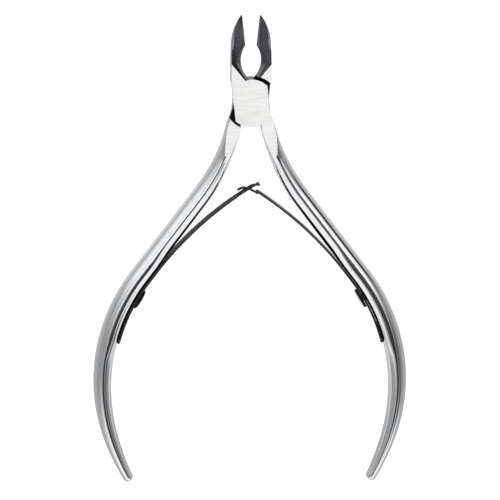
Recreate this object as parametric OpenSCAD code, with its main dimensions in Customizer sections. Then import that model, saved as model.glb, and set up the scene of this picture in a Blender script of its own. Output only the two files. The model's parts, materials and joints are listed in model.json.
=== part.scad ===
// Cuticle nipper: two forged levers lapped over each other and riveted, each with a hollow-ground
// half jaw, and a pair of leaf springs that interlock between the handles.
// The nipper lies on its back: +Y runs from the rivet to the jaw tips, +Z is through its thickness,
// and the origin is on the rivet's axis in the plane that the nipper rests on.

/* [Overall] */
// Thickness of both levers together, over the lap joint
joint_t = 6; // [4.8:0.1:7.5]
// Angle between the two levers at rest, opened by the springs
open_angle = 11.5; // [8:0.5:14]

/* [Jaws] */
// Distance from the rivet to the jaw tips
jaw_reach = 19.9; // [16:0.1:24]
// Length of the cutting edge, back from the tip
edge_l = 7; // [4:0.1:9]
// Width of one jaw tip
tip_w = 0.3; // [0.2:0.05:0.8]
// How far the throat is hollowed into each jaw
throat_depth = 1.4; // [1:0.1:2.2]
// Thickness left at the jaw tips by the hollow grind
tip_t = 0.9; // [0.6:0.1:2]
// Direction in which the hollow grind falls, from the X axis
grind_dir = 34; // [20:1:60]
// Slope of the bevel behind the cutting edge, from the plane of the nipper
bevel_angle = 45; // [30:1:60]

/* [Lap joint] */
// Width of each lapped plate
plate_w = 8.1; // [7:0.1:10]
// Radius of a plate's end beside its own jaw
plate_top_r = 5.35; // [4.6:0.05:5.8]
// Radius of the pocket in which the other lever's plate turns
lap_r = 6.1; // [5.9:0.1:7.2]
// Gap between a plate's lower end and the pocket around it
lap_side_gap = 0.5; // [0.2:0.05:0.7]
// Gap between the two lapped faces
lap_gap = 0.1; // [0.06:0.01:0.2]

/* [Rivet] */
// Radius of the rivet's shank
rivet_r = 2; // [1.5:0.1:2.6]
// Radius of its flush countersunk heads
rivet_head_r = 2.7; // [2.6:0.1:3.4]
// Depth of the countersinks
rivet_head_t = 0.7; // [0.4:0.1:1.2]
// Radial gap between the rivet and the lever that turns on it
rivet_fit = 0.03; // [0.01:0.01:0.1]

/* [Handles] */
// Distance of a handle's centre line from the nipper's own, where it leaves the joint
neck_x = 3.35; // [3:0.05:4]
// Distance below the rivet where the handle leaves the joint
neck_y = 6.4; // [6:0.1:8]
// Angle at which a handle leaves the joint
neck_lean = 8; // [4:1:14]
// Length of the flare below the joint
flare_l = 18; // [14:0.5:22]
// Angle through which the flare turns outward
flare_turn = 23.6; // [16:0.1:30]
// Length of the straight stretch
straight_l = 22.6; // [18:0.1:28]
// Length of the curved grip
grip_l = 39.5; // [31:0.1:45]
// Angle through which the grip turns back inward
grip_turn = 55.5; // [44:0.5:62]
// Length of the tail below the grip
tail_l = 10.6; // [8:0.1:16]
// Angle through which the tail turns inward
tail_turn = 11; // [4:1:14]
// Width of a handle at the joint
neck_w = 3.3; // [2.8:0.1:4]
// Width of a handle along the grip
grip_w = 4.35; // [3.6:0.05:5.4]
// Width of a handle at its end
end_w = 2.2; // [1.8:0.1:3]
// Length over which a handle tapers to its end
taper_l = 36; // [20:0.5:42]
// Thickness of a handle at its end
end_t = 4.8; // [3.6:0.1:6]
// Rounding of the handle's end
end_r = 0.7; // [0.3:0.1:0.9]
// Length of the flat face that runs from the plate on to the handle
neck_flat = 3.2; // [2:0.1:5]
// Roundness of the handle's section: 2 is an ellipse, more is squarer
section_power = 2.7; // [2:0.1:4]

/* [Springs] */
// Thickness of the leaf
leaf_t = 0.5; // [0.4:0.05:0.9]
// Width of the leaf where it is screwed down
leaf_w = 5; // [3.6:0.1:5.6]
// Width of the leaf across its tip
leaf_tip_w = 3.4; // [3:0.1:4]
// Distance along the handle, from the joint, at which the leaf leaves it
leaf_leave = 37.8; // [34:0.1:41]
// Length of the leaf that lies on the handle
leaf_seat_l = 19.5; // [16:0.5:24]
// Angle through which the free leaf curves inward
leaf_turn = 21; // [12:1:26]
// Gap between the leaf and the handle's inner face
seat_gap = 0.04; // [0.02:0.01:0.1]
// Length of each tip past the crossing point
tip_overrun = 1.7; // [1.2:0.1:2.4]
// Radius of the curled tip end
curl_r = 0.9; // [0.7:0.1:1.4]
// Width of the tongue on the right spring
tongue_w = 1.2; // [0.8:0.1:1.6]
// Length of the fork's slot and of the tongue, back from the crossing point
fork_l = 3.6; // [2.5:0.1:5]
// Gap on each side of the tongue in the fork
fork_gap = 0.3; // [0.2:0.05:0.4]

/* [Spring screws] */
// Distance of the screw along the handle, from the joint
screw_at = 45.2; // [43:0.1:50]
// Radius of the screw's thread
screw_r = 0.9; // [0.7:0.1:1.1]
// Length of thread in the handle
screw_depth = 2.6; // [2:0.1:3]
// Radius of the domed head
screw_head_r = 2.4; // [1.8:0.05:2.6]
// Height of the domed head
screw_head_h = 1; // [0.7:0.1:1.3]
// Radial gap between the screw and the leaf's hole
screw_gap = 0.12; // [0.08:0.02:0.2]
// Width of the driver slot
screw_slot_w = 0.5; // [0.3:0.05:0.6]

/* [Hidden] */
mid = joint_t / 2;
half_open = open_angle / 2;
sweep_sides = 18;
far = 60;
// Where a jaw's outer side bows in to the tip, and how far it narrows by the edge's inner end.
bow_back = 2.9;
bow_out = 1.1;
side_in = 0.75;
// Where the hollow grind starts: in from the jaw's outer side, and below the edge's inner end.
grind_in = 0.8;
grind_below = 4.2;
// The lowest place above the rivet's axis that the grinding wheel reaches.
grind_low = 4;
// Where the neck's outer side starts above the rivet's axis, and where the two necks part below it.
neck_top = 0.5;
crotch_x = 0.8;
crotch_y = 4.6;
// The tongue's share of the fork's length, and the dome's share that is left under the slot.
tongue_share = 0.6;
slot_share = 0.5;
// Room below the screw's thread in its hole.
drill_room = 0.2;
// How far a cutting shape reaches past what it cuts, and the overlap of shapes that are joined.
over = 1;
skin = 0.01;
// Spacing of the rings and spots that the sweeps are made of, and the steps of a curved side.
ring_step = 2.2;
seat_step = 1.5;
leaf_step = 2;
bow_steps = 10;
// The shortest step that the even rings and spots leave before a rounded or curled end.
end_room = 0.3;
// Angle of the curl at a leaf's tip, and the steps along it.
tip_curl = 60;
curl_steps = 4;

// A path is a list of [length, turn] stretches. Each step gives [x, y, heading].
function stretch(from, l, turn) = abs(turn) < 0.01
    ? [from[0] + l * cos(from[2]), from[1] + l * sin(from[2]), from[2]]
    : let (r = l / (turn * PI / 180), to = from[2] + turn)
        [from[0] + r * (sin(to) - sin(from[2])), from[1] - r * (cos(to) - cos(from[2])), to];
function spot(path, from, s, i = 0) = i == len(path) - 1 || s <= path[i][0]
    ? stretch(from, s, path[i][1] * s / path[i][0])
    : spot(path, stretch(from, path[i][0], path[i][1]), s - path[i][0], i + 1);
// The point at a distance to the left of a spot.
function aside(at, d) = [at[0] - d * sin(at[2]), at[1] + d * cos(at[2])];
function ease(u) = let (v = min(max(u, 0), 1)) v * v * (3 - 2 * v);
function turned(p, a) = [p[0] * cos(a) - p[1] * sin(a), p[0] * sin(a) + p[1] * cos(a)];

// The handle of the front lever, in the closed position: it is the right-hand one.
handle_path = [[flare_l, flare_turn], [straight_l, 0], [grip_l, -grip_turn], [tail_l, -tail_turn]];
handle_start = [neck_x, -neck_y, neck_lean - 90];
handle_l = flare_l + straight_l + grip_l + tail_l;
function handle(s) = spot(handle_path, handle_start, s);
function taper(s) = pow(max(0, (s - handle_l + taper_l) / taper_l), 2);
function handle_w(s) = neck_w + (grip_w - neck_w) * ease(s / flare_l) - (grip_w - end_w) * taper(s);
function handle_t(s) = joint_t - (joint_t - end_t) * taper(s);

// A superellipse's corner, as a share of its half width or half height.
function corner(v) = sign(v) * pow(abs(v), 2 / section_power);
// One ring of the handle: shrink draws it in all round, for the rounded end.
function ring(s, shrink) = let (at = handle(s)) [for (i = [0:sweep_sides - 1])
    let (a = 360 * i / sweep_sides, p = aside(at, corner(cos(a)) * (handle_w(s) / 2 - shrink)))
    [p[0], p[1], mid + corner(sin(a)) * (handle_t(s) / 2 - shrink)]];
body_rings = [for (s = [neck_flat / 2:ring_step:handle_l - end_r - end_room]) ring(s, 0)];
end_rings = [for (a = [0:30:90]) ring(handle_l - end_r * (1 - sin(a)), end_r * (1 - cos(a)))];

// The free leaf runs from where it leaves the handle to the nipper's centre line, where it crosses
// the other one. Its length follows from the handle's place at rest.
leave = handle(leaf_leave);
leave_side = -(handle_w(leaf_leave) / 2 + seat_gap + leaf_t / 2);
leave_at = aside(leave, leave_side);
leave_heading = leave[2] + 180;
leave_rest = turned(leave_at, half_open);
crossing_chord = leave_rest[0] / -cos(leave_heading + half_open + leaf_turn / 2);
leaf_free_l = crossing_chord * (leaf_turn / 2 * PI / 180) / sin(leaf_turn / 2);
leaf_path = [[leaf_free_l, leaf_turn], [tip_overrun, 0], [curl_r, tip_curl]];
leaf_start = [leave_at[0], leave_at[1], leave_heading];
function leaf(s) = spot(leaf_path, leaf_start, s);
leaf_l = leaf_free_l + tip_overrun + curl_r;
// Spots of the whole leaf's middle, from its seated end to its curled tip.
leaf_spots = [
    for (s = [leaf_leave + leaf_seat_l:-seat_step:leaf_leave + skin])
        let (at = handle(s), p = aside(at, -(handle_w(s) / 2 + seat_gap + leaf_t / 2)))
        [p[0], p[1], at[2] + 180],
    for (s = [0:leaf_step:leaf_free_l + tip_overrun - end_room]) leaf(s),
    for (s = [leaf_l - curl_r:curl_r / curl_steps:leaf_l + skin]) leaf(s)];

// A screw head clears the leaf, which rises on both sides of it along the inside of the grip's arc.
grip_r = grip_l / (grip_turn * PI / 180);
leaf_rise = screw_head_r * screw_head_r / (2 * (grip_r - grip_w));
head_under = 2 * seat_gap + leaf_t + leaf_rise;

throat_y = jaw_reach - edge_l - (jaw_reach - edge_l - plate_top_r) / 2;
throat_half = jaw_reach - edge_l - throat_y;
throat_r = (throat_half * throat_half + throat_depth * throat_depth) / (2 * throat_depth);
jaw_side = [-plate_w / 2 + side_in, jaw_reach - edge_l];
plate_bottom_r = lap_r - lap_side_gap;

// A quadratic curve from a to c, drawn towards b.
function bow(a, b, c, n) = [for (i = [0:n])
    let (u = i / n) (1 - u) * (1 - u) * a + 2 * u * (1 - u) * b + u * u * c];

// The jaw of the front lever, seen from the front, closed: it is the left-hand one.
module jaw_outline() {
    difference() {
        polygon(concat([[0, 0], [0, jaw_reach]],
            bow([-tip_w, jaw_reach], [-plate_w / 2 + bow_out, jaw_reach - bow_back], jaw_side, bow_steps),
            [[-plate_w / 2, plate_top_r], [-plate_w / 2, 0]]));
        translate([throat_r - throat_depth, throat_y]) circle(throat_r, $fn = 96);
    }
}

module plate_outline() {
    intersection() {
        translate([-plate_w / 2, -lap_r]) square([plate_w, 2 * lap_r]);
        union() {
            intersection() {
                circle(plate_top_r, $fn = 96);
                translate([-plate_w, 0]) square([2 * plate_w, plate_w]);
            }
            intersection() {
                circle(plate_bottom_r, $fn = 96);
                translate([-plate_w, -plate_w]) square([2 * plate_w, plate_w + skin]);
            }
        }
    }
}

module neck_outline() {
    top = handle(0);
    low = handle(neck_flat);
    polygon([[plate_w / 2, neck_top], aside(top, handle_w(0) / 2), aside(low, handle_w(neck_flat) / 2),
        aside(low, -handle_w(neck_flat) / 2), aside(top, -handle_w(0) / 2), [crotch_x, -crotch_y]]);
}

module handle_sweep() {
    rings = concat(body_rings, end_rings);
    n = sweep_sides;
    last = len(rings) - 1;
    sides = [for (j = [0:last - 1]) for (i = [0:n - 1]) let (k = (i + 1) % n)
        for (f = [[j * n + i, (j + 1) * n + k, j * n + k], [j * n + i, (j + 1) * n + i, (j + 1) * n + k]]) f];
    ends = [[for (i = [0:n - 1]) i], [for (i = [n - 1:-1:0]) last * n + i]];
    polyhedron([for (r = rings) for (p = r) p], concat(sides, ends), convexity = 6);
}

// The hollow grind of one jaw face: a wheel whose axis lies across the direction of the grind.
module hollow_grind() {
    start = [-plate_w / 2 + grind_in, jaw_reach - edge_l - grind_below];
    reach = (jaw_reach - start[1]) * sin(grind_dir) - start[0] * cos(grind_dir);
    drop = (joint_t - tip_t) / 2;
    wheel_r = (reach * reach + drop * drop) / (2 * drop);
    intersection() {
        translate([start[0], start[1], joint_t]) rotate(grind_dir)
            translate([reach, 0, wheel_r - drop]) rotate([90, 0, 0])
                cylinder(h = far, r = wheel_r, center = true, $fn = 180);
        translate([-plate_w, grind_low, mid]) cube([plate_w, far, far]);
    }
}

// The bevel that meets the mid plane along the cutting edge.
module edge_bevel() {
    run = mid + over;
    rise = run * tan(bevel_angle);
    translate([0, jaw_reach + over, mid]) rotate([90, 0, 0])
        linear_extrude(jaw_reach + over - throat_y + throat_half / 2)
            polygon([[skin, 0], [-run, rise], [-run, 2 * rise], [skin, 2 * rise]]);
}

module both_faces() {
    children();
    translate([0, 0, joint_t]) mirror([0, 0, 1]) children();
}

// The axis of the spring screw: +Z of this frame points out of the handle's inner face.
module at_screw() {
    at = handle(screw_at);
    p = aside(at, -handle_w(screw_at) / 2);
    translate([p[0], p[1], mid]) rotate([0, 0, at[2] - 90]) rotate([0, 90, 0]) children();
}

module rivet_cut(gap) {
    translate([0, 0, -over]) cylinder(h = joint_t + 2 * over, r = rivet_r + gap, $fn = 72);
    both_faces()
        translate([0, 0, -skin]) cylinder(h = rivet_head_t, r1 = rivet_head_r + gap, r2 = rivet_r + gap, $fn = 72);
}

// One lever in the closed position, with its plate in front: left jaw and right handle.
module lever(rivet_gap) {
    difference() {
        union() {
            translate([0, 0, mid + lap_gap / 2]) linear_extrude(mid - lap_gap / 2) {
                plate_outline();
                jaw_outline();
                neck_outline();
            }
            linear_extrude(mid + lap_gap) difference() {
                union() {
                    jaw_outline();
                    neck_outline();
                }
                circle(lap_r, $fn = 120);
            }
            handle_sweep();
        }
        both_faces() {
            hollow_grind();
            edge_bevel();
        }
        rivet_cut(rivet_gap);
        at_screw() translate([0, 0, -screw_depth - drill_room])
            cylinder(h = screw_depth + drill_room + over, r = screw_r, $fn = 48);
    }
}

// The places of the two levers at rest. The rear lever is the front one turned over.
module on_front() {
    rotate(half_open) children();
}
module on_rear() {
    rotate(-half_open) translate([0, 0, joint_t]) rotate([0, 180, 0]) children();
}

// A box along the tip of the leaf, from a distance before the crossing, between two heights.
module tip_box(before, low, high) {
    at = leaf(leaf_free_l);
    translate([at[0], at[1], low]) rotate(at[2])
        translate([-before, -far / 2, 0]) cube([far, far, high - low]);
}

module leaf_blank() {
    n = len(leaf_spots) - 1;
    base = leaf_spots[0];
    tip = leaf_spots[n];
    run = norm([tip[0] - base[0], tip[1] - base[1]]);
    difference() {
        intersection() {
            linear_extrude(joint_t) polygon(concat(
                [for (i = [0:n]) aside(leaf_spots[i], leaf_t / 2)],
                [for (i = [n:-1:0]) aside(leaf_spots[i], -leaf_t / 2)]));
            // The leaf seen flat on, tapering from its seat to its tip.
            translate([base[0], base[1], mid]) rotate(atan2(tip[1] - base[1], tip[0] - base[0]))
                rotate([90, 0, 0]) linear_extrude(far, center = true) polygon([
                    [-over, -leaf_w / 2], [leaf_seat_l, -leaf_w / 2], [run + over, -leaf_tip_w / 2],
                    [run + over, leaf_tip_w / 2], [leaf_seat_l, leaf_w / 2], [-over, leaf_w / 2]]);
        }
        at_screw() translate([0, 0, -over])
            cylinder(h = leaf_t + 2 * over, r = screw_r + screw_gap, $fn = 48);
    }
}

module spring_screw() {
    dome_r = (screw_head_r * screw_head_r + screw_head_h * screw_head_h) / (2 * screw_head_h);
    at_screw() difference() {
        union() {
            translate([0, 0, -screw_depth])
                cylinder(h = screw_depth + head_under + skin, r = screw_r, $fn = 48);
            intersection() {
                translate([0, 0, head_under + screw_head_h - dome_r]) sphere(dome_r, $fn = 96);
                translate([0, 0, head_under]) cylinder(h = screw_head_h, r = screw_head_r, $fn = 48);
            }
        }
        translate([-far / 2, -screw_slot_w / 2, head_under + screw_head_h * slot_share])
            cube([far, screw_slot_w, far]);
    }
}

module rear_lever() {
    color([0.80, 0.81, 0.83]) on_rear() lever(0);
}

module front_lever() {
    color([0.86, 0.87, 0.89]) on_front() lever(rivet_fit);
}

module pivot_rivet() {
    color([0.74, 0.75, 0.77]) intersection() {
        rivet_cut(0);
        cylinder(h = joint_t, r = 2 * rivet_head_r, $fn = 72);
    }
}

module left_spring() {
    color([0.55, 0.56, 0.58]) on_rear() difference() {
        leaf_blank();
        tip_box(fork_l, mid - tongue_w / 2 - fork_gap, mid + tongue_w / 2 + fork_gap);
    }
}

module right_spring() {
    color([0.60, 0.61, 0.63]) on_front() difference() {
        leaf_blank();
        tip_box(fork_l * 0.6, mid + tongue_w / 2, joint_t);
        tip_box(fork_l * 0.6, 0, mid - tongue_w / 2);
    }
}

module left_spring_screw() {
    color([0.70, 0.71, 0.73]) on_rear() spring_screw();
}

module right_spring_screw() {
    color([0.70, 0.71, 0.73]) on_front() spring_screw();
}

rear_lever();
front_lever();
pivot_rivet();
left_spring();
right_spring();
left_spring_screw();
right_spring_screw();
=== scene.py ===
# %% [markdown]
# # A cuticle nipper, piece by piece
# The nipper is two forged levers lapped over each other on a rivet, and two leaf springs that hook
# into one another between the handles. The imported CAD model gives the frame: the bodies that move,
# the joint axes and the box that everything stays in. Here each forging, spring and screw is drawn
# again as a fine surface, with the finish that the real one has.

# %% Load the frame
import json
import math

import bpy
import numpy as np
from mathutils import Matrix, Vector


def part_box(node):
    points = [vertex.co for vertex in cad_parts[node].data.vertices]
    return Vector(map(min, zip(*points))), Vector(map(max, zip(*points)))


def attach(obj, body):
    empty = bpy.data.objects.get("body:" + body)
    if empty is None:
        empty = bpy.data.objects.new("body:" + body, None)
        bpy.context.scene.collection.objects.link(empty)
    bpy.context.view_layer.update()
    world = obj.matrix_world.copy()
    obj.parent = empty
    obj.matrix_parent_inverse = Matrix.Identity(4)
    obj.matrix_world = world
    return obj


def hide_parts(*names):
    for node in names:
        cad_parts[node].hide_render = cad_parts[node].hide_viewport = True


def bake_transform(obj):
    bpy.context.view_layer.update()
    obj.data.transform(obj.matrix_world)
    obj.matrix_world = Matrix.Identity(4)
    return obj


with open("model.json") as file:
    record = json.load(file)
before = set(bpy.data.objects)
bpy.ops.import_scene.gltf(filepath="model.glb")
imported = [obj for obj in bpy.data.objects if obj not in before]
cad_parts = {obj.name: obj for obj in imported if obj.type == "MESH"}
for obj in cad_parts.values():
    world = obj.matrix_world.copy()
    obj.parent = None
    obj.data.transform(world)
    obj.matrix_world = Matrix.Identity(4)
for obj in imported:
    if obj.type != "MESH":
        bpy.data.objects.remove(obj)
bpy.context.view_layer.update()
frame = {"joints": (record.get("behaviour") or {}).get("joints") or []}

# %% [markdown]
# ## Sizes
# All lengths are in millimetres and all angles in degrees, as they are on a drawing. The thickness
# of the joint and the angle between the levers come from the frame. The rest are the same driving
# sizes that the CAD model is built from. They could be read off the CAD meshes instead, but a size
# with a name says what it is for.

# %% Driving sizes
MM = 0.001
low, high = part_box("front_lever")
JOINT_T = (high[2] - low[2]) / MM
MID = JOINT_T / 2
pivot = next(joint for joint in frame["joints"] if joint["name"] == "handle_pivot")
TRAVEL_LEFT = 0.1
HALF_OPEN = (pivot["range_deg"][1] + TRAVEL_LEFT) / 2

# The jaw. Y runs from the rivet's axis towards the tip.
JAW_REACH = 19.9  # to the tip
EDGE_L = 7.0  # the cutting edge
TIP_W = 0.3
THROAT_DEPTH = 1.4
JAW_SIDE_IN = 0.75  # how far the outer side has come in where the edge begins
BOW_OUT = 1.1  # the outer curve's control point, in from the plate's side
BOW_BACK = 2.9  # and back from the tip
GRIND_DIR = 34.0  # the direction in which the hollow falls away, square to its diagonal
GRIND_IN = 0.8  # a point of that diagonal, in from the plate's side
GRIND_BELOW = 4.2  # and below the cutting edge

# The lap joint.
PLATE_W = 8.1
PLATE_TOP_R = 5.35  # the arc towards the jaw
LAP_R = 6.1  # the pocket
LAP_SIDE_GAP = 0.5  # from the plate's lower arc to the pocket's wall
LAP_GAP = 0.1  # between the faces that slide
RIVET_R = 2.0
RIVET_HEAD_R = 2.7
RIVET_HEAD_T = 0.7

# The handle's middle line: where it starts (x, y, heading), and its stretches (length, turn).
HANDLE_START = (3.35, -6.4, -82.0)
HANDLE_PATH = [(18.0, 23.6), (22.6, 0.0), (39.5, -55.5), (10.6, -11.0)]
HANDLE_L = sum(length for length, turn in HANDLE_PATH)
FLARE_L = HANDLE_PATH[0][0]  # over which the neck widens into the grip
NECK_W = 3.3
GRIP_W = 4.35
END_W = 2.2
END_T = 4.8
END_R = 0.7  # the rounding of the end
TAPER_L = 36.0  # over which the grip is drawn down to the end

# A leaf spring. Places along it and the handle are distances along the handle's middle line.
LEAF_T = 0.5
LEAF_W = 5.0
LEAF_TIP_W = 3.4
LEAF_LEAVE = 37.8  # where the leaf leaves its handle
LEAF_SEAT_L = 19.5
LEAF_TURN = 21.0  # what the free leaf turns through
SEAT_GAP = 0.04
TONGUE_W = 1.2
FORK_L = 3.6
FORK_GAP = 0.3  # on each side of the tongue

# A spring screw.
SCREW_AT = 45.2
SCREW_R = 0.9
SCREW_DEPTH = 2.6
SCREW_HEAD_R = 2.4
SCREW_HEAD_H = 1.0
SCREW_SLOT_W = 0.5
print(f"joint {JOINT_T:.2f} mm thick, each lever turned {HALF_OPEN:.2f} degrees from closed")

# %% [markdown]
# ## Paths
# Seen from the front, a handle's middle line is a chain of arcs and straights. It could be a Bezier
# curve, but a smith bends a handle over a few round formers, and a list of stretches, each with a
# length and the angle that it turns through, says just that. The springs use the same function.


# %% Points along a chain of arcs
def stretch_end(start, length, turn):
    """Where an arc that starts at x, y, heading ends: with k = turn / length, x grows by
    (sin h1 - sin h0) / k and y by -(cos h1 - cos h0) / k. A straight grows by cos h and sin h."""
    x, y, heading = start
    h0 = np.radians(heading)
    k = math.radians(turn) / length if turn else 0.0

    def reach(d):
        h1 = h0 + k * d
        if k:
            return x + (np.sin(h1) - np.sin(h0)) / k, y - (np.cos(h1) - np.cos(h0)) / k, np.degrees(h1)
        return x + d * np.cos(h0), y + d * np.sin(h0), heading + 0 * d
    return reach


def along(path, start, s):
    """x, y and heading at distances s along a chain of arcs. Each distance belongs to one stretch;
    the first stretch also serves distances below zero, and the last those past the end."""
    s = np.asarray(s, float)
    lengths = [length for length, turn in path]
    gone = np.concatenate([[0], np.cumsum(lengths)])
    which = np.clip(np.searchsorted(gone, s, "right") - 1, 0, len(path) - 1)
    spots = np.zeros((3,) + s.shape)
    for n, (length, turn) in enumerate(path):
        reach = stretch_end(start, length, turn)
        spots = np.where(which == n, np.stack(np.broadcast_arrays(*reach(s - gone[n]))), spots)
        start = reach(length)
    return spots


def ease(u):
    """The smooth step 3 u^2 - 2 u^3 between 0 and 1."""
    u = np.clip(u, 0, 1)
    return u * u * (3 - 2 * u)


def handle(s):
    """The middle line of the front lever's handle, with the nipper closed."""
    return along(HANDLE_PATH, HANDLE_START, s)


def tail(s):
    """0 along the grip, then a parabola to 1 at the handle's end."""
    return np.clip((np.asarray(s, float) - HANDLE_L + TAPER_L) / TAPER_L, 0, None) ** 2


def handle_width(s):
    """Narrow in the neck, full along the grip, and drawn down to the end with the tail's parabola.
    Above the neck it narrows at a steady rate, to run out inside the plate."""
    neck_slope = 0.28
    full = NECK_W + (GRIP_W - NECK_W) * ease(np.asarray(s, float) / FLARE_L)
    return full + neck_slope * np.minimum(s, 0) - (GRIP_W - END_W) * tail(s)


end_x, end_y, end_heading = handle(HANDLE_L)
print(f"closed, a handle ends at {end_x:.1f}, {end_y:.1f} mm, heading {end_heading:.0f} degrees")

# %% [markdown]
# ## From rings to a mesh
# A swept piece is a stack of rings with the same number of points. Two neighbouring rings are
# joined by quads, and each end is closed by one face. A curve object with a bevel could do this for
# an even section, but these sections change along the way, so all points are one numpy array.


# %% Sweeps and shells
def sweep(x, y, heading, across, up):
    """Rings square to a path: point = path + across * left + up * Z, with left = (-sin h, cos h).
    across and up have one row for each place on the path."""
    h = np.radians(heading)[:, None]
    return np.stack([x[:, None] - across * np.sin(h), y[:, None] + across * np.cos(h), up], -1)


def lathe(profile, sides=96):
    """Turns (radius, z) pairs about the Z axis into rings: x = r cos t, y = r sin t."""
    r, z = np.array(profile, float).T[:, :, None]
    t = 2 * np.pi * np.arange(sides) / sides
    return np.stack([r * np.cos(t), r * np.sin(t), np.broadcast_to(z, (len(z), sides))], -1)


def shell(rings):
    """Vertices and faces of a closed skin over a stack of rings (stations, points, 3)."""
    n, m = rings.shape[:2]
    i = np.arange(m)
    j = np.arange(n - 1)[:, None] * m
    k = (i + 1) % m
    quads = np.stack([j + i, j + k, j + m + k, j + m + i], -1).reshape(-1, 4)
    ends = [list(range(m - 1, -1, -1)), list(range((n - 1) * m, n * m))]
    return rings.reshape(-1, 3), quads.tolist() + ends


def make_mesh(name, vertices, faces):
    """A mesh object in metres. If its volume, the sum of a . (b x c) over its triangles, comes out
    negative, the faces point inwards and are turned."""
    mesh = bpy.data.meshes.new(name)
    co = np.asarray(vertices) * MM
    mesh.from_pydata(co.tolist(), [], faces)
    mesh.update()
    piece = bpy.data.objects.new(name, mesh)
    bpy.context.scene.collection.objects.link(piece)
    mesh.calc_loop_triangles()
    corners = np.zeros(len(mesh.loop_triangles) * 3, np.int32)
    mesh.loop_triangles.foreach_get("vertices", corners)
    a, b, c = (co[corners[n::3]] for n in range(3))
    if np.sum(a * np.cross(b, c)) < 0:
        mesh.flip_normals()
    return piece


def combine(piece, others, operation):
    """Adds or cuts away other meshes with the exact boolean, and removes them."""
    for other in others:
        step = piece.modifiers.new("combine", "BOOLEAN")
        step.operation, step.object, step.solver = operation, other, "EXACT"
    bpy.context.view_layer.update()
    done = piece.evaluated_get(bpy.context.evaluated_depsgraph_get())
    mesh = bpy.data.meshes.new_from_object(done)
    piece.modifiers.clear()
    piece.data = mesh
    for other in others:
        bpy.data.objects.remove(other)


print("a turned ring has", lathe([(RIVET_R, 0)]).shape[1], "points")

# %% [markdown]
# ## From closed to rest
# Every piece is drawn on the front lever with the nipper closed, where the sizes are simple. The
# rear lever is the same forging turned over about Y. The object itself stays at the origin, and
# only the points of its mesh are moved, so a pattern in its material doesn't slide.


# %% Placing a piece
def place(points, side):
    """Turns points about the rivet's axis by half the opening: x' = x cos a - y sin a and
    y' = x sin a + y cos a. The rear side is first turned over: x to -x, z to JOINT_T - z."""
    x, y, z = np.moveaxis(np.asarray(points, float), -1, 0)
    a = math.radians(HALF_OPEN)
    if side == "rear":
        x, z, a = -x, JOINT_T - z, -a
    return np.stack([x * math.cos(a) - y * math.sin(a), x * math.sin(a) + y * math.cos(a), z], -1)


def move_mesh(piece, change):
    """Puts a mesh's points, in mm, through a function of the whole array."""
    co = np.zeros(len(piece.data.vertices) * 3)
    piece.data.vertices.foreach_get("co", co)
    piece.data.vertices.foreach_set("co", (change(co.reshape(-1, 3) / MM) * MM).ravel())
    piece.data.update()


def face_data(piece):
    """Normals and centres of all faces, the centres in mm."""
    count = len(piece.data.polygons)
    normal = np.zeros(count * 3)
    centre = np.zeros(count * 3)
    piece.data.polygons.foreach_get("normal", normal)
    piece.data.polygons.foreach_get("center", centre)
    return normal.reshape(-1, 3), centre.reshape(-1, 3) / MM


def dress(piece, materials, index=None):
    """Gives a piece its materials, the number of one for each face, and shading that is smooth
    except over edges of more than 32 degrees. Weighted normals keep the flats flat."""
    crease = math.radians(32)
    for material in materials:
        piece.data.materials.append(material)
    if index is not None:
        piece.data.polygons.foreach_set("material_index", index.astype(np.int32))
    piece.data.polygons.foreach_set("use_smooth", np.ones(len(piece.data.polygons), bool))
    piece.data.set_sharp_from_angle(angle=crease)
    even = piece.modifiers.new("even_normals", "WEIGHTED_NORMAL")
    even.keep_sharp = True
    piece.data.update()


print("the tip of the front jaw rests at", place([0, JAW_REACH, MID], "front").round(2), "mm")

# %% [markdown]
# ## Steel
# The whole tool is stainless steel, and what the eye sees is mostly how each surface was made: buffed,
# belt-ground, wheel-ground or rolled. A painted-on gradient would look wrong from the side, so each
# finish is one colour, a roughness that varies with smudges, and fine tool lines. Three of the
# colours are painted shade, not the metal's own: the dark of the wheel-ground hollow, the black
# inside the lap and the dark rim and slot of a screw head. One builder makes them all. A metal keeps
# its default IOR.


# %% Nodes
def linear(hex_colour):
    """sRGB hex to linear: c / 12.92 near black, ((c + 0.055) / 1.055) ^ 2.4 above that."""
    c = [int(hex_colour[i:i + 2], 16) / 255 for i in (1, 3, 5)]
    return tuple(v / 12.92 if v <= 0.04045 else ((v + 0.055) / 1.055) ** 2.4 for v in c) + (1.0,)


def add(tree, kind, settings=None, **links):
    """Adds a node. settings are its properties. links are its inputs, by name or as i0, i1: each
    is a socket to join, or a value to set on the input itself."""
    node = tree.nodes.new(kind)
    for key, value in (settings or {}).items():
        setattr(node, key, value)
    for key, value in links.items():
        numbered = key[0] == "i" and key[1:].isdigit()
        socket = node.inputs[int(key[1:])] if numbered else node.inputs[key.replace("_", " ")]
        if isinstance(value, bpy.types.NodeSocket):
            tree.links.new(value, socket)
        else:
            socket.default_value = value
    return node


def empty_tree(owner):
    """The node tree of a new material or world, with nothing in it."""
    owner.use_nodes = True
    owner.node_tree.nodes.clear()
    return owner.node_tree


print(f"#808080 is {linear('#808080')[0]:.3f} in linear light")

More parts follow.
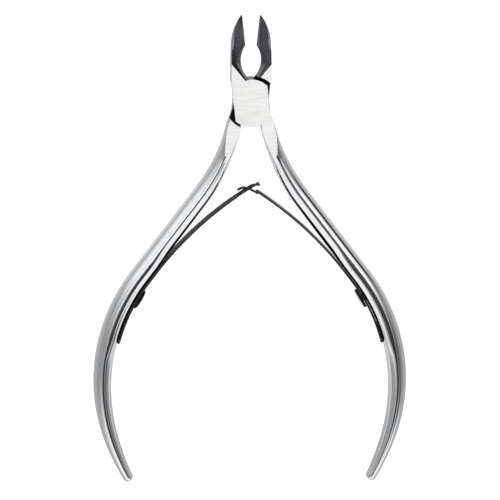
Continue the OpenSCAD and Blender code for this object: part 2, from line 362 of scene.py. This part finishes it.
# %% The finishes
def steel(name, colour, rough, spread, grain, line_mm, bump_mm, tone):
    """A steel. Roughness = rough +- spread, after smudges 5.5 mm wide. Tool lines line_mm wide, drawn
    out along the axis where grain is small, give bump_mm of relief and darken by up to tone. Noise
    keeps mostly to the middle of 0 to 1, so its middle is stretched over the whole range."""
    smudge_mm = 5.5
    smudge_low, smudge_high = 0.35, 0.65
    line_low, line_high = 0.3, 0.7
    material = bpy.data.materials.new(name)
    tree = empty_tree(material)
    where = add(tree, "ShaderNodeTexCoord").outputs["Object"]
    drawn = add(tree, "ShaderNodeMapping", Vector=where, Scale=grain).outputs[0]
    lines = add(tree, "ShaderNodeTexNoise", Vector=drawn, Scale=1 / (line_mm * MM), Detail=4.0)
    smudge = add(tree, "ShaderNodeTexNoise", Vector=where, Scale=1 / (smudge_mm * MM), Detail=3.0)
    dull = add(tree, "ShaderNodeMapRange", Value=smudge.outputs["Fac"], From_Min=smudge_low,
               From_Max=smudge_high, To_Min=rough - spread, To_Max=rough + spread)
    shade = add(tree, "ShaderNodeMapRange", Value=lines.outputs["Fac"], From_Min=line_low,
                From_Max=line_high, To_Min=1 - tone, To_Max=1.0)
    tint = add(tree, "ShaderNodeMix", {"data_type": "RGBA", "blend_type": "MULTIPLY"}, i0=1.0,
               i6=linear(colour), i7=shade.outputs[0])
    bump = add(tree, "ShaderNodeBump", Height=lines.outputs["Fac"], Strength=1.0,
               Distance=bump_mm * MM)
    shader = add(tree, "ShaderNodeBsdfPrincipled", Base_Color=tint.outputs[2], Metallic=1.0,
                 Roughness=dull.outputs[0], Normal=bump.outputs[0])
    add(tree, "ShaderNodeOutputMaterial", Surface=shader.outputs[0])
    return material


EVEN, ALONG_X, ALONG_Y, ALONG_Z = (1, 1, 1), (0.12, 1, 1), (1, 0.1, 1), (1, 1, 0.1)
# Buffed on a soft wheel: a mirror, with faint wiping marks that soften it here and there.
mirror = steel("mirror_polished_stainless", "#DFE0E2", 0.03, 0.015, EVEN, 1.1, 0.0004, 0.03)
# Drawn across a fine belt: nearly white, with level lines. Real ones are 0.05 mm apart, which is
# too fine to show, so these are 0.5 mm.
satin = steel("satin_belt_ground_stainless", "#FCFCFB", 0.42, 0.05, ALONG_X, 0.5, 0.002, 0.1)
# Ground by a small wheel and left so, with streaks that run down the jaw; its dark colour is painted
# shade.
hollow_painted_shade = steel("hollow_ground_painted_shade_stainless", "#444548", 0.16, 0.05, ALONG_Y, 0.3, 0.002, 0.35)
# Honed by hand behind the cutting edge and round the throat: a brighter band beside the hollow.
honed = steel("honed_edge_stainless", "#A0A1A5", 0.22, 0.05, ALONG_X, 0.3, 0.002, 0.15)
# Broken with a stone along the jaw's outer side: a paler, softer band.
chamfered = steel("stoned_chamfer_stainless", "#B5B6B9", 0.3, 0.05, ALONG_Y, 0.3, 0.001, 0.1)
# The faces inside the lap are painted black as shade, which is how its deep, narrow gaps look.
lap_painted_shade = steel("lap_painted_shade_stainless", "#17181A", 0.4, 0.1, EVEN, 0.3, 0.003, 0.1)
# Cold-rolled strip, tempered after bending: darker than the handles, with lines along the roll.
strip = steel("tempered_spring_strip", "#3F4043", 0.16, 0.04, ALONG_Z, 0.2, 0.001, 0.15)
# Its thin oxide film stays dark at a glancing look too, which the tint for 82 degrees gives.
film = next(node for node in strip.node_tree.nodes if node.type == "BSDF_PRINCIPLED")
film.inputs["Specular Tint"].default_value = linear("#7A7A7C")
# Turned steel, painted almost black as shade round the rim of a screw head and down in its slot.
screw_painted_shade = steel("screw_steel_painted_shade", "#232427", 0.25, 0.05, EVEN, 0.3, 0.001, 0.1)
print("finishes:", [material.name for material in bpy.data.materials])

# %% [markdown]
# ## The handle
# Each lever is one forging: a jaw, half of the lap joint and a handle. The handle could be a box
# that is bevelled and subdivided, but its long reflections show every uneven edge loop, so it is a
# superellipse carried along the middle line, in rings 0.2 mm apart in the neck and 0.7 mm along the
# grip. In the neck the bar is swollen a little past the joint's thickness and then cut off level
# with the plate, which leaves a flat that runs out on the handle in a rounded tongue, as
# belt-grinding the plate does.


# %% The handle's rings
def superellipse(power, sides):
    """The curve |x|^p + |y|^p = 1, one row for each power p: x = sign(cos t) |cos t|^(2 / p),
    and y the same with the sine. 2 is an ellipse, more is squarer."""
    t = 2 * np.pi * (np.arange(sides) + 0.5) / sides
    c, s = np.cos(t)[None, :], np.sin(t)[None, :]
    share = 2 / power[:, None]
    return np.sign(c) * np.abs(c) ** share, np.sign(s) * np.abs(s) ** share


def handle_rings(sides=72):
    """Rings from inside the plate to the rounded end. The section's power falls from the squared
    neck to the oval grip, and the inner side stays squarer along the spring's seat."""
    oval, squarer_neck, squarer_seat = 2.3, 5.0, 1.2
    square_until, oval_after = -4.0, 12.0
    seat_in, seat_out = 7.0, 6.0
    swell_mm, swell_from, swell_l, skew = 1.3, -1.0, 9.0, 2.0
    below_flat = 0.12
    inside_plate, fine_to, coarse, least_gap = -4.5, 14.0, 0.7, 0.2
    round_off = np.radians(np.arange(0, 91, 15))
    fine = np.linspace(inside_plate, fine_to, 93)
    even = np.concatenate([fine, np.arange(fine_to + 0.6, HANDLE_L - END_R - least_gap, coarse)])
    s = np.concatenate([even, HANDLE_L - END_R * (1 - np.sin(round_off))])
    shrink = np.concatenate([0 * even, END_R * (1 - np.cos(round_off))])[:, None]
    power = oval + squarer_neck * (1 - ease((s - square_until) / oval_after))
    past_seat = s - LEAF_LEAVE - LEAF_SEAT_L
    on_seat = ease((s - LEAF_LEAVE + seat_in) / seat_in) * (1 - ease((past_seat + 1) / seat_out))
    c, z = superellipse(power, sides)
    c_in, z_in = superellipse(power + squarer_seat * on_seat, sides)
    c, z = np.where(c < 0, c_in, c), np.where(c < 0, z_in, z)
    swell = swell_mm * (1 - ease((s[:, None] - swell_from + skew * c) / swell_l))
    thick = JOINT_T - below_flat + swell - (JOINT_T - END_T) * tail(s)[:, None]
    across = c * (handle_width(s)[:, None] / 2 - shrink)
    up = MID + np.clip(z * (thick / 2 - shrink), -MID, MID)
    return sweep(*handle(s), across, up)


print("a handle has", handle_rings().shape[0], "rings of", handle_rings().shape[1], "points")

# %% [markdown]
# ## The jaw
# A half jaw is ground on both faces. A wheel hollows it from a diagonal line at the plate down to
# a thin tip, a bevel is honed behind the cutting edge and round the throat, and the outer side is
# chamfered. It could be cut with boolean wheels, as in the CAD model. Here the three ground faces
# are three height functions over the same plan, and the lowest one wins, so the creases between
# them can be rounded and each face can have its own finish.


# %% The jaw's outline
def throat_edge(y):
    """Inner side of the jaw: x = 0 along the cutting edge, and a circle in the throat, whose
    radius (h^2 + d^2) / 2d follows from half its chord h and its depth d."""
    half = (JAW_REACH - EDGE_L - PLATE_TOP_R) / 2
    centre = JAW_REACH - EDGE_L - half
    r = (half ** 2 + THROAT_DEPTH ** 2) / (2 * THROAT_DEPTH)
    hollowed = (r - THROAT_DEPTH) - np.sqrt(np.clip(r ** 2 - (y - centre) ** 2, 0, None))
    return np.minimum(0, hollowed)


def outer_edge(y):
    """Outer side: a line beside the throat, then a quadratic curve (1 - u)^2 a + 2 u (1 - u) b +
    u^2 c to the tip."""
    side_x, side_y = -PLATE_W / 2 + JAW_SIDE_IN, JAW_REACH - EDGE_L
    u = np.linspace(0, 1, 60)
    bow_x = (1 - u) ** 2 * -TIP_W + 2 * u * (1 - u) * (-PLATE_W / 2 + BOW_OUT) + u ** 2 * side_x
    bow_y = (1 - u) ** 2 * JAW_REACH + 2 * u * (1 - u) * (JAW_REACH - BOW_BACK) + u ** 2 * side_y
    curve = np.interp(y, bow_y[::-1], bow_x[::-1])
    line = np.interp(y, [PLATE_TOP_R, side_y], [-PLATE_W / 2, side_x])
    return np.where(y > side_y, curve, line)


print(f"a jaw is {-outer_edge(JAW_REACH - EDGE_L):.2f} mm wide where its edge begins")

# %% The jaw's ground faces
def jaw_surfaces(x, y):
    """Heights of the three ground faces above the middle plane. Hollow: with d the distance past
    the diagonal, MID - (fall d - d^2 / 2R), an arc of a wheel of radius R. Bevel: slope times the
    distance from the edge, steeper round the throat and steepest at the plate. Chamfer: a slope
    from the outer side, which dies away beside the throat. The changes start and end at distances
    in mm back from the end of the cutting edge."""
    fall, wheel_r = 0.62, 14.0
    slope_at_edge, slope_in_throat, slope_at_plate = 1.25, 0.35, 2.8
    keen, blunt = 0.03, 0.45
    side_half_t, side_slope = 0.25, 1.5
    a = math.radians(GRIND_DIR)
    past = ((x + PLATE_W / 2 - GRIND_IN) * math.cos(a)
            + (y - JAW_REACH + EDGE_L + GRIND_BELOW) * math.sin(a))
    past = np.clip(past, 0, None)
    wheel = MID - (fall * past - past ** 2 / (2 * wheel_r))
    back = JAW_REACH - EDGE_L - y
    slope = (slope_at_edge + slope_in_throat * ease((back + 0.5) / 3)
             + slope_at_plate * ease((back - 3.4) / 3))
    edge = keen + blunt * ease((back + 0.6) / 2.4)
    bevel = edge + slope * (throat_edge(y) - x)
    chamfer = side_half_t + side_slope * (x - outer_edge(y)) + MID * ease((back + 1.3) / 4)
    return np.stack([wheel, bevel, chamfer])


def jaw_half_height(x, y, r=0.03):
    """The least of the ground faces, with creases rounded: low - r ln sum exp(-(h - low) / r)."""
    heights = jaw_surfaces(x, y)
    least = heights.min(0)
    soft = least - r * np.log(np.exp(-(heights - least) / r).sum(0))
    return np.minimum(soft, MID)


def jaw_rings(across_n=46):
    """Rings square to Y. Each goes from the inner side to the outer one over the top and back
    underneath. Points crowd towards both sides, by (1 - cos pi v) / 2."""
    edge_end, inside_plate = JAW_REACH - EDGE_L, -1.0
    edge_rings, throat_rings = 80, 120
    y = np.concatenate([np.linspace(JAW_REACH, edge_end, edge_rings)[:-1],
                        np.linspace(edge_end, inside_plate, throat_rings)])[:, None]
    v = 0.5 - 0.5 * np.cos(np.pi * np.linspace(0, 1, across_n))
    x = throat_edge(y) + (outer_edge(y) - throat_edge(y)) * v
    z = jaw_half_height(x, y)
    ring_x = np.concatenate([x, x[:, ::-1]], 1)
    ring_z = np.concatenate([MID + z, MID - z[:, ::-1]], 1)
    return np.stack([ring_x, np.broadcast_to(y, ring_x.shape), ring_z], -1)


tip_height = float(jaw_half_height(np.array(-TIP_W / 2), np.array(JAW_REACH)))
print(f"a jaw is {2 * tip_height:.2f} mm thick at its tip")

# %% [markdown]
# ## The lap joint
# Each plate is half the joint's thickness and turns in a round pocket cut in the other lever. The
# plate is an outline of two arcs about the rivet, carried up with a fine rounding, and the pocket
# and the rivet's bore are turned shapes that are cut away. An exact boolean keeps those edges as
# crisp as a milling cutter does.


# %% The plate
def plate_outline(steps=40):
    """Two arcs about the rivet, r (sin t, cos t), cut straight along both sides."""
    top_r, bottom_r = PLATE_TOP_R, LAP_R - LAP_SIDE_GAP
    top, bottom = (math.asin(PLATE_W / 2 / r) for r in (top_r, bottom_r))
    a, b = np.linspace(-top, top, steps), np.linspace(-bottom, bottom, steps)
    return np.concatenate([np.stack([top_r * np.sin(a), top_r * np.cos(a)], -1),
                           np.stack([-bottom_r * np.sin(b), -bottom_r * np.cos(b)], -1)])


def rounded_prism(outline, z0, z1, r, steps=4):
    """An outline carried from z0 to z1 with its edges rounded: near each end it is drawn in along
    its own normals by r (1 - cos t) while z runs over r (1 - sin t)."""
    ahead, behind = np.roll(outline, -1, 0), np.roll(outline, 1, 0)
    along_it = ahead - behind
    normal = np.stack([along_it[:, 1], -along_it[:, 0]], -1)
    normal /= np.linalg.norm(normal, axis=1)[:, None]
    area = 0.5 * np.sum(outline[:, 0] * ahead[:, 1] - ahead[:, 0] * outline[:, 1])
    t = np.radians(np.linspace(90, 0, steps))
    shrink = r * (1 - np.cos(np.concatenate([t, t[::-1]])))
    z = np.concatenate([z0 + r * (1 - np.sin(t)), z1 - r * (1 - np.sin(t[::-1]))])
    xy = outline - np.sign(area) * normal * shrink[:, None, None]
    return np.concatenate([xy, np.broadcast_to(z[:, None, None], xy.shape[:2] + (1,))], -1)


print("the plate's outline has", len(plate_outline()), "points")

# %% [markdown]
# ## Which finish goes where
# The finishes follow the machining, so each face of a forging is sorted by where it lies: the flats
# that the belt reached, the three ground faces of the jaw, and everything inside the lap, which is
# painted black as shade.


# %% Sorting the faces
MIRROR, SATIN, HOLLOW_PAINTED_SHADE, LAP_PAINTED_SHADE = 0, 1, 2, 5
LEVER_FINISHES = [mirror, satin, hollow_painted_shade, honed, chamfered, lap_painted_shade]


def lever_finish(piece):
    """The number of each face's finish, by its centre and normal, for a closed lever. On the jaw it
    is the ground face that is lowest there, and steep sides stay mirror unless they are bevel. A
    hair of 0.01 mm, or a few, allows for where the booleans put a point."""
    belt_ends_at, rim_from_y, rim_from_x, bevel, hair = -16.0, 3.5, -3.3, 1, 0.01
    normal, centre = face_data(piece)
    x, y, z = centre.T
    flat, steep = np.abs(normal[:, 2]) > 0.998, np.abs(normal[:, 2]) < 0.2
    lowest = jaw_surfaces(x, y).argmin(0)
    index = np.full(len(x), MIRROR)
    on_jaw = (y > PLATE_TOP_R - 1.5) & (x < 5 * hair)
    # The hollow, and the steep walls above the throat, get the dark colour of painted shade.
    index = np.where(on_jaw & ~(steep & (lowest != bevel)), HOLLOW_PAINTED_SHADE + lowest, index)
    above_throat = (y > rim_from_y) & (x > rim_from_x) & (x > throat_edge(y) + 10 * hair)
    index = np.where(steep & (z > MID) & above_throat, HOLLOW_PAINTED_SHADE, index)
    index = np.where(flat & (np.abs(z - MID) > MID - hair) & (y > belt_ends_at), SATIN, index)
    # Everything inside the lap is painted black as shade.
    in_lap_painted_shade = (np.hypot(x, y) < LAP_R + 3 * hair) & (z > 2 * hair) & (z < MID + LAP_GAP / 2 + hair)
    return np.where(in_lap_painted_shade, LAP_PAINTED_SHADE, index)


print("a lever has", len(LEVER_FINISHES), "finishes")

# %% The two forgings
def rivet_profile(gap, past):
    """Radius and height of the rivet, with countersunk heads. As a cutter, it is gap larger all
    round and its heads run past the faces."""
    shank, head = RIVET_R + gap, RIVET_HEAD_R + gap
    return [(head + past, -past), (head, 0), (shank, RIVET_HEAD_T), (shank, JOINT_T - RIVET_HEAD_T),
            (head, JOINT_T), (head + past, JOINT_T + past)]


def build_lever(name, side, gap):
    """A forging: handle, plate and jaw joined, pocket and bore cut away, then put at rest."""
    lap_top, past = MID + LAP_GAP / 2, 0.2
    rounding, lead_in = 0.12, 0.12
    body = make_mesh(name, *shell(handle_rings()))
    jaw = make_mesh("jaw", *shell(jaw_rings()))
    plate = make_mesh("plate", *shell(rounded_prism(plate_outline(), lap_top, JOINT_T, rounding)))
    combine(body, [plate, jaw], "UNION")
    wall = [(LAP_R, lap_top), (LAP_R, lead_in), (LAP_R + lead_in + past, -past)]
    pocket = make_mesh("pocket", *shell(lathe(wall)))
    bore = make_mesh("bore", *shell(lathe(rivet_profile(gap, past))))
    combine(body, [pocket, bore], "DIFFERENCE")
    dress(body, LEVER_FINISHES, lever_finish(body))
    move_mesh(body, lambda points: place(points, side))
    return body


# %% The front lever
front = build_lever("front_forging", "front", gap=0.004)
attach(front, "front_lever")
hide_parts("front_lever")
print("front forging:", len(front.data.polygons), "faces")

# %% The rear lever
rear = build_lever("rear_forging", "rear", gap=0.002)
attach(rear, "rear_lever")
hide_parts("rear_lever")
print("rear forging:", len(rear.data.polygons), "faces")

# %% [markdown]
# ## The rivet
# The levers turn on a rivet whose heads are pressed into countersinks and then ground level with
# the plates. It would be enough to draw a circle on the plate, but the real hairline between the
# two metals is a narrow gap, and a turned rivet in a bore gives that from both sides.

# %% Turning the rivet
SMALLEST_R = 0.3
rivet_shape = [(SMALLEST_R, 0)] + rivet_profile(0, 0)[1:-1] + [(SMALLEST_R, JOINT_T)]
rivet = make_mesh("rivet", *shell(lathe(rivet_shape)))
dress(rivet, [satin])
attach(rivet, "rear_lever")
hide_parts("pivot_rivet")
print("rivet:", len(rivet.data.polygons), "faces")

# %% [markdown]
# ## The leaf springs
# Two strips are screwed to the insides of the handles. Each follows its handle, leaves it, and
# curves over to the middle, where a tongue on the right one passes through a fork on the left one.
# A real leaf bends as the handles close, most over the first 9 mm of its free length. Here each
# leaf is drawn with the nipper closed and only put at rest, as a rigid strip, with the lever that it
# is screwed to.


# %% The leaf's line
def beside_handle(s, gap):
    """Points at a gap inside the handle's inner face, and the heading back towards the joint."""
    x, y, heading = handle(s)
    off = -(handle_width(s) / 2 + gap)
    h = np.radians(heading)
    return np.stack([x - off * np.sin(h), y + off * np.cos(h), heading + 180])


def free_length(start):
    """A free leaf's arc reaches the middle plane x = 0 at rest. Its chord follows from where it
    starts and its heading, and an arc is chord * t / sin t long, with t half its turn."""
    rest_x = place([start[0], start[1], MID], "front")[0]
    chord = rest_x / -math.cos(math.radians(start[2] + HALF_OPEN + LEAF_TURN / 2))
    half_turn = math.radians(LEAF_TURN / 2)
    return chord * half_turn / math.sin(half_turn)


LEAF_OFF = SEAT_GAP + LEAF_T / 2
LEAF_START = tuple(float(v) for v in beside_handle(LEAF_LEAVE, LEAF_OFF))
FREE_L = free_length(LEAF_START)
LEAF = [(FREE_L, LEAF_TURN)]
print(f"free leaf {FREE_L:.1f} mm")


# %% A strip along the leaf
def rounded_box_section(half_a, half_b, r, steps=5):
    """Corner arcs (half - r) + r (cos t, sin t) of a rounded rectangle, for arrays of half sizes."""
    t = np.radians(np.linspace(0, 90, steps))
    a, b = (half_a - r)[:, None], (half_b - r)[:, None]
    ca, sa = r * np.cos(t), r * np.sin(t)
    return (np.concatenate([a + ca, -a - sa, -a - ca, a + sa], 1),
            np.concatenate([b + sa, b + ca, -b - sa, -b - ca], 1))


def leaf_strip(name, s0, s1, half_width, path, height=0.0, thin=1.0):
    """A strip between two distances from where the leaf leaves its handle. Distances below zero
    lie on the seat. half_width is a function of the distance, height moves the strip in Z."""
    step, edge_r = 0.35, 0.1
    s = np.linspace(s0, s1, max(8, int((s1 - s0) / step)))
    on_seat = beside_handle(LEAF_LEAVE - np.minimum(s, 0), LEAF_OFF)
    x, y, heading = np.where(s < 0, on_seat, along(path, LEAF_START, s))
    across, up = rounded_box_section(np.full(len(s), LEAF_T / 2 * thin), half_width(s), edge_r)
    return make_mesh(name, *shell(sweep(x, y, heading, across, MID + height + up)))


def leaf_half_width(s):
    """Even along the seat and tapering along the free leaf. The seated end is rounded in plan:
    0.9 of a circle's r - sqrt(r^2 - d^2) is taken off over the last r, so a flat is left."""
    r, roundness = 1.6, 0.9
    taper = LEAF_W / 2 - (LEAF_W - LEAF_TIP_W) / 2 * np.clip(s / FREE_L, 0, 1)
    d = np.clip(r - (s + LEAF_SEAT_L), 0, r)
    return taper - roundness * (r - np.sqrt(r ** 2 - d ** 2))


def finish_spring(piece, side):
    """Puts a leaf at rest with the lever on its side."""
    bend_l = 9.0
    x, y, heading = along(LEAF, LEAF_START, [0.0, bend_l])
    move_mesh(piece, lambda points: place(points, side))
    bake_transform(piece)


print(f"a leaf is {2 * leaf_half_width(0.0):.1f} mm wide where it leaves its handle")

# %% The left spring, with the fork
PRONG_W = (LEAF_TIP_W - TONGUE_W - 2 * FORK_GAP) / 2
PRONG_AT = (LEAF_TIP_W - PRONG_W) / 2
SINK, TIP_THIN = 0.6, 0.9  # how deep a tip starts inside its leaf, and its share of LEAF_T
left_leaf = leaf_strip("left_leaf", -LEAF_SEAT_L, FREE_L - FORK_L, leaf_half_width, LEAF)
prongs = []
for name, height, past, curl in (("rear_prong", -PRONG_AT, 2.2, [(1.5, 0), (1.2, -12)]),
                                 ("front_prong", PRONG_AT, 2.3, [(0.3, 10), (2.0, 40)])):
    prongs.append(leaf_strip(name, FREE_L - FORK_L - SINK, FREE_L + past,
                             lambda s: np.full(len(s), PRONG_W / 2), LEAF + curl, height, TIP_THIN))
combine(left_leaf, prongs, "UNION")
dress(left_leaf, [strip])
finish_spring(left_leaf, "rear")
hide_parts("left_spring")
print(f"fork: two prongs {PRONG_W:.2f} mm wide")

# %% The right spring, with the tongue
SHOULDER = 1.7
HOOK = [(FREE_L - 2.2, LEAF_TURN), (2.4, 8), (1.8, 45)]
right_leaf = leaf_strip("right_leaf", -LEAF_SEAT_L, FREE_L - SHOULDER, leaf_half_width, LEAF)
tongue = leaf_strip("tongue", FREE_L - SHOULDER - SINK, FREE_L + 2.8,
                    lambda s: np.full(len(s), TONGUE_W / 2), HOOK, 0.0, TIP_THIN)
combine(right_leaf, [tongue], "UNION")
dress(right_leaf, [strip])
finish_spring(right_leaf, "front")
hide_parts("right_spring")
print(f"tongue: {TONGUE_W:.2f} mm wide, hooked over the other leaf")

# %% [markdown]
# ## The spring screws
# A slotted screw with a low dome holds each spring. It is turned like the rivet, and the slot is cut
# with a boolean. The dome is polished and the rest is painted almost black as shade, so seen from
# the side the head has a dark rim round a bright middle.


# %% A screw on the inner face of a handle
def screw_profile():
    """Thread, underside and dome. The head clears the leaf, which rises on both sides of it along
    the grip's arc by R_head^2 / 2R."""
    length, turn = HANDLE_PATH[2]
    grip_r = length / math.radians(-turn)
    under = 2 * SEAT_GAP + LEAF_T + SCREW_HEAD_R ** 2 / (2 * (grip_r - GRIP_W))
    rim_h, edge, top_r = 0.35, 0.15, 0.02
    t = np.radians(np.arange(0, 88, 7))
    dome_z = under + rim_h + (SCREW_HEAD_H - rim_h) * np.sin(t)
    dome = np.stack([SCREW_HEAD_R * np.cos(t), dome_z], -1).tolist()
    shank = [(SCREW_R, -SCREW_DEPTH), (SCREW_R, under)]
    rim = [(SCREW_HEAD_R - edge, under), (SCREW_HEAD_R, under + edge)]
    return shank + rim + dome + [(top_r, under + SCREW_HEAD_H)], under


def build_screw(name, side):
    """Turned about Z, slotted, then stood on the handle's inner face."""
    profile, under = screw_profile()
    slot_depth, slot_turn, long_enough, high_enough = 0.55 * SCREW_HEAD_H, 20.0, 4.0, 2.0
    painted_rim_from, upwards = 0.95, 0.2
    screw = make_mesh(name, *shell(lathe(profile, sides=72)))
    blade = np.array([[-1, -1], [1, -1], [1, 1], [-1, 1]]) * [long_enough, SCREW_SLOT_W / 2]
    bottom = under + SCREW_HEAD_H - slot_depth
    cutter = rounded_prism(blade, bottom, under + high_enough, r=0.02)
    combine(screw, [make_mesh("slot", *shell(cutter))], "DIFFERENCE")
    normal, centre = face_data(screw)
    off_axis, from_slot = np.hypot(centre[:, 0], centre[:, 1]), np.abs(centre[:, 1])
    on_dome = (off_axis < painted_rim_from * SCREW_HEAD_R) & (normal[:, 2] > upwards)
    # The rim and the slot are painted dark as shade; the dome beside the slot is polished.
    polished = on_dome & (from_slot > SCREW_SLOT_W / 2)
    dress(screw, [mirror, screw_painted_shade], np.where(polished, 0, 1))
    x, y, heading = beside_handle(SCREW_AT, 0.0)
    h = math.radians(heading - 180)
    out = Vector((math.sin(h), -math.cos(h), 0))
    ahead = Vector((math.cos(h), math.sin(h), 0))
    stand = Matrix((ahead, out.cross(ahead), out)).transposed()
    turn = np.array(stand @ Matrix.Rotation(math.radians(slot_turn), 3, "Z"))
    move_mesh(screw, lambda points: place(points @ turn.T + [x, y, MID], side))
    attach(screw, side + "_lever")
    return screw


left_screw = build_screw("left_screw", "rear")
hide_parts("left_spring_screw")
right_screw = build_screw("right_screw", "front")
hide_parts("right_spring_screw")
print("screws:", len(left_screw.data.polygons), "faces each")

# %% [markdown]
# ## The light table
# Polished steel shows its surroundings and hardly itself, so the set matters as much as the
# metal. The nipper lies on a table that is lit from below: it looks white and takes no shadow. What
# the steel reflects of it is a painted reflection, dimmer than what the camera sees, with a painted
# pool of light that makes it brighter between the handles than outside them.

# %% The table
half_side, below = 900, 0.02
shown_glow, painted_pool_between, glow_outside, grey = 0.95, 0.7, 0.28, 0.25
corners = np.array([[-1, -1, 0], [1, -1, 0], [1, 1, 0], [-1, 1, 0]]) * half_side - [0, 0, below]
table = make_mesh("table", corners, [[0, 1, 2, 3]])
glass = bpy.data.materials.new("opal_glass")
tree = empty_tree(glass)
seen = add(tree, "ShaderNodeLightPath").outputs["Is Camera Ray"]
spot = add(tree, "ShaderNodeTexCoord").outputs["Object"]
# A painted pool of light, seen only in the steel: the reflected glow is 0.7 within 20 mm of a point
# between the handles and 0.28 beyond 45 mm, while the camera sees 0.95 everywhere.
away = add(tree, "ShaderNodeVectorMath", {"operation": "DISTANCE"}, i0=spot,
           i1=(0.0, -45 * MM, 0.0)).outputs["Value"]
reflected_painted_pool = add(tree, "ShaderNodeMapRange", {"interpolation_type": "SMOOTHSTEP"}, Value=away,
                From_Min=20 * MM, From_Max=45 * MM,
                To_Min=painted_pool_between, To_Max=glow_outside).outputs[0]
glow = add(tree, "ShaderNodeMix", {"data_type": "FLOAT"}, i0=seen, i2=reflected_painted_pool,
           i3=shown_glow)
lamp = add(tree, "ShaderNodeEmission", Color=(1, 1, 1, 1), Strength=glow.outputs[0])
paint = add(tree, "ShaderNodeBsdfDiffuse", Color=(grey, grey, grey, 1))
both = add(tree, "ShaderNodeAddShader", i0=paint.outputs[0], i1=lamp.outputs[0])
add(tree, "ShaderNodeOutputMaterial", Surface=both.outputs[0])
table.data.materials.append(glass)
print("table:", 2 * half_side, "mm square")

# %% [markdown]
# ## The soft room
# Lamps would give hard highlights, so the light is the whole sky of the world: a white tent with
# grey cards and black flags hung in it. Each card is a patch of directions with soft borders. The
# flags draw the thin dark lines along the handles, and the grey cards shade their outer sides.

# %% Cards in a white tent
world = bpy.data.worlds.new("tent")
bpy.context.scene.world = world
tree = empty_tree(world)


def within(angle, centre, half, soft):
    """1 where an angle is within half of a centre, falling smoothly to 0 over a further soft. The
    difference is wrapped to -180 to 180 degrees, and its sign is dropped."""
    off = add(tree, "ShaderNodeMath", {"operation": "SUBTRACT"}, i0=angle, i1=centre)
    wrapped = add(tree, "ShaderNodeMath", {"operation": "WRAP"}, i0=off.outputs[0], i1=180.0,
                  i2=-180.0)
    gap = add(tree, "ShaderNodeMath", {"operation": "ABSOLUTE"}, i0=wrapped.outputs[0])
    return add(tree, "ShaderNodeMapRange", {"interpolation_type": "SMOOTHSTEP"},
               Value=gap.outputs[0], From_Min=half, From_Max=half + soft, To_Min=1.0,
               To_Max=0.0).outputs[0]


direction = add(tree, "ShaderNodeTexCoord").outputs["Generated"]
x, y, z = add(tree, "ShaderNodeSeparateXYZ", i0=direction).outputs
turned = add(tree, "ShaderNodeMath", {"operation": "ARCTAN2"}, i0=y, i1=x).outputs[0]
azimuth = add(tree, "ShaderNodeMath", {"operation": "DEGREES"}, i0=turned).outputs[0]
leant = add(tree, "ShaderNodeMath", {"operation": "ARCCOSINE"}, i0=z).outputs[0]
tilt = add(tree, "ShaderNodeMath", {"operation": "DEGREES"}, i0=leant).outputs[0]

# Each card: its azimuth from +X towards +Y, half width and border, then its tilt from overhead,
# half height and border, all in degrees, and last its brightness. Later cards cover earlier ones.
CARDS = {
    "grey strip overhead": (-105, 55, 20, 15, 5, 5, 0.4),
    "black flag by the handles": (-75, 20, 20, 65, 35, 5, 0.1),
    "long black flag behind": (45, 85, 10, 75, 5, 40, 0.0),
    "black flag to the right": (-55, 40, 5, 45, 35, 5, 0.05),
    "grey card to the right": (5, 10, 15, 105, 60, 25, 0.35),
    "grey card to the left": (170, 80, 5, 60, 35, 30, 0.4),
    "white card by the handles": (-85, 50, 30, 105, 80, 10, 1.2),
    "white card behind, left": (125, 15, 40, 0, 40, 35, 1.25),
    "white card behind": (105, 25, 35, 45, 60, 5, 1.4),
    "dark strip to the right": (-15, 15, 15, 35, 5, 25, 0.15),
}
# The bare tent is brighter overhead than it is near the table.
level = add(tree, "ShaderNodeMapRange", {"interpolation_type": "SMOOTHSTEP"}, Value=tilt,
            From_Min=70.0, From_Max=120.0, To_Min=1.75, To_Max=1.45).outputs[0]
for az, az_half, az_soft, up, up_half, up_soft, brightness in CARDS.values():
    share = add(tree, "ShaderNodeMath", {"operation": "MULTIPLY"},
                i0=within(azimuth, az, az_half, az_soft), i1=within(tilt, up, up_half, up_soft))
    level = add(tree, "ShaderNodeMix", {"data_type": "FLOAT"}, i0=share.outputs[0], i2=level,
                i3=brightness).outputs[0]
sky = add(tree, "ShaderNodeBackground", Color=(1, 1, 1, 1), Strength=level)
add(tree, "ShaderNodeOutputWorld", Surface=sky.outputs[0])
print("tent:", len(CARDS), "cards")

# %% [markdown]
# ## The camera
# The camera looks almost straight down, leaning a little towards the jaws and to the left, which
# shows a sliver of the left sides and of the jaws' ends. It stands 3 m off with a long lens, so the
# handles keep their true shape.

# %% The camera
camera = bpy.data.objects.new("camera", bpy.data.cameras.new("camera"))
bpy.context.scene.collection.objects.link(camera)
away_from_it = 3.0
shown = 114.2 * MM
far_enough = 10.0
target = Vector((-0.05, -34.3, 3)) * MM
back = Vector((-0.06, 0.145, 1)).normalized()
right = Vector((0, 1, 0)).cross(back).normalized()
level_camera = Matrix((right, back.cross(right), back)).transposed()
roll = Matrix.Rotation(math.radians(0.2), 3, "Z")
camera.location = target + back * away_from_it
camera.rotation_euler = (level_camera @ roll).to_euler()
camera.data.sensor_width = 36
camera.data.lens = camera.data.sensor_width * away_from_it / shown
camera.data.clip_end = far_enough
bpy.context.scene.camera = camera
bpy.context.scene.view_settings.view_transform = "Standard"
print(f"lens {camera.data.lens:.0f} mm")
